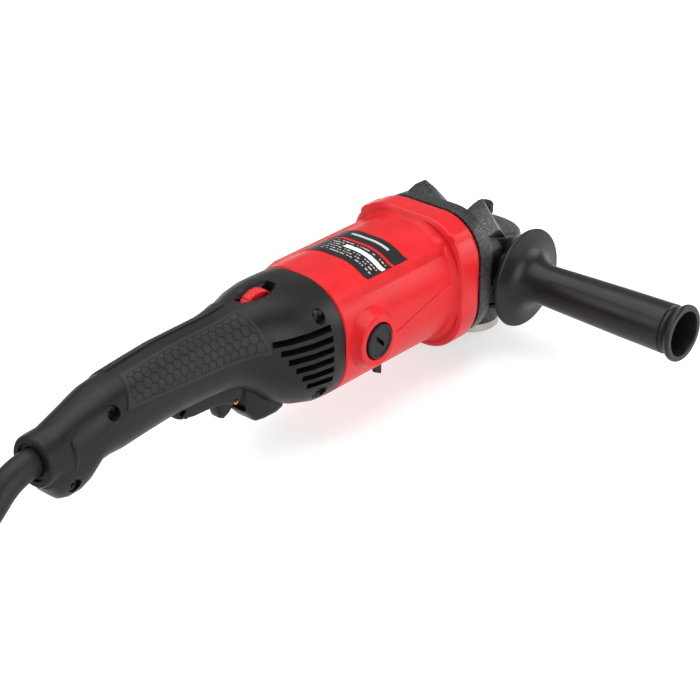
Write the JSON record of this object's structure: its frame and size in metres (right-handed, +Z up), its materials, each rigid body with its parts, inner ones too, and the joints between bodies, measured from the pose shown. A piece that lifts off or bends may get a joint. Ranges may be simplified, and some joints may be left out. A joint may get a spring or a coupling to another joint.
{
  "type": "angle grinder",
  "caption": "Long-handled angle grinder with a bevel-geared spindle, guard collar, side handle, paddle trigger with lock-off lever, speed dial and mains lead.",
  "frame": {"origin": "Lower end of the spindle, on the spindle's axis. The bench that the lead lies on is the plane z = 0.", "axes": "+X forward along the motor from the rear handle to the gear head; +Y to the tool's left, away from the fitted side handle; +Z up, from the spindle's free end into the gear head."},
  "size_m": [0.553, 0.2955, 0.0965],
  "materials": {
    "cast_metal": "dark powder-coated die casting",
    "cap_metal": "machined",
    "steel": "bright zinc plated",
    "gear_steel": "case hardened",
    "bronze": "sintered",
    "felt": "felt",
    "black_plastic": "fine spark texture",
    "grip_rubber": "soft, satin",
    "red_plastic": "glossy moulded",
    "laminations": "varnished laminations",
    "copper": "enamelled copper wire",
    "fan_plastic": "glass filled",
    "seat_rubber": "moulded",
    "brass": "drawn tube",
    "carbon": "pressed carbon",
    "label_film": "printed film",
    "circuit_board": "board and potting",
    "switch_plastic": "moulded",
    "film_capacitor": "dipped",
    "lead_rubber": "moulded rubber"
  },
  "bodies": {
    "body": {"gear_case": "cast_metal", "bearing_cap": "cap_metal", "bearing_cap_screws": "steel", "gear_case_screws": "steel", "spindle_bearing": "steel", "spindle_bush": "bronze", "spindle_seal": "felt", "lock_spring": "steel", "side_handle": "grip_rubber", "side_handle_stud": "steel", "motor_housing": "red_plastic", "stator_core": "laminations", "field_windings": "copper", "front_bearing": "steel", "rear_bearing": "steel", "bearing_seat": "seat_rubber", "fan_baffle": "black_plastic", "brush_holders": "brass", "carbon_brushes": "carbon", "brush_springs": "steel", "brush_caps": "black_plastic", "rating_label": "label_film", "hose_clip": "black_plastic", "handle_right": "black_plastic", "handle_left": "black_plastic", "grip_pad_right": "grip_rubber", "grip_pad_left": "grip_rubber", "handle_screws": "steel", "speed_controller": "circuit_board", "switch_body": "switch_plastic", "trigger_pin": "steel", "trigger_spring": "steel", "cord_clamp": "black_plastic", "clamp_screws": "steel", "cord_sleeve": "lead_rubber", "capacitor": "film_capacitor", "cord": "lead_rubber", "cord_coil": "lead_rubber", "cord_tie": "black_plastic", "plug_body": "lead_rubber", "plug_pins": "steel"},
    "spindle_group": {"spindle": "steel", "drive_gear": "gear_steel"},
    "armature": {"armature_core": "laminations", "armature_shaft": "steel", "armature_windings": "copper", "commutator": "copper", "cooling_fan": "fan_plastic", "drive_pinion": "gear_steel", "pinion_nut": "steel"},
    "trigger": {"trigger": "black_plastic", "lever_pin": "brass"},
    "lock_off_lever": {"lock_off_lever": "black_plastic"},
    "speed_dial": {"speed_dial": "red_plastic"},
    "lock_button": {"lock_button": "black_plastic"}
  },
  "joints": [
    {"name": "spindle_spin", "type": "hinge", "parent": "body", "child": "spindle_group", "pos_m": [0, 0, 0], "axis": [0, 0, 1], "continuous": true},
    {"name": "armature_spin", "type": "hinge", "parent": "body", "child": "armature", "pos_m": [-0.1, 0, 0.056], "axis": [1, 0, 0], "continuous": true},
    {"name": "trigger_press", "type": "hinge", "parent": "body", "child": "trigger", "pos_m": [-0.2502, 0, 0.047], "axis": [0, -1, 0], "range_deg": [0, 7], "stiffness_Nm_per_rad": 3, "springref_deg": -8.59, "deforming": ["trigger_spring"]},
    {"name": "lock_off_push", "type": "hinge", "parent": "trigger", "child": "lock_off_lever", "pos_m": [-0.2112, 0, 0.0384], "axis": [0, -1, 0], "range_deg": [0, 25], "stiffness_Nm_per_rad": 0.05, "springref_deg": -17.19},
    {"name": "speed_dial_turn", "type": "hinge", "parent": "body", "child": "speed_dial", "pos_m": [-0.187, 0, 0.0807], "axis": [0, 1, 0], "range_deg": [0, 270]},
    {"name": "spindle_lock_press", "type": "slide", "parent": "body", "child": "lock_button", "axis": [0, 0, -1], "range_m": [0, 0.005], "stiffness_N_per_m": 800, "springref_m": -0.004, "deforming": ["lock_spring"]}
  ],
  "couplings": [
    {"joint": "armature_spin", "follows": "spindle_spin", "ratio": -3.6}
  ]
}
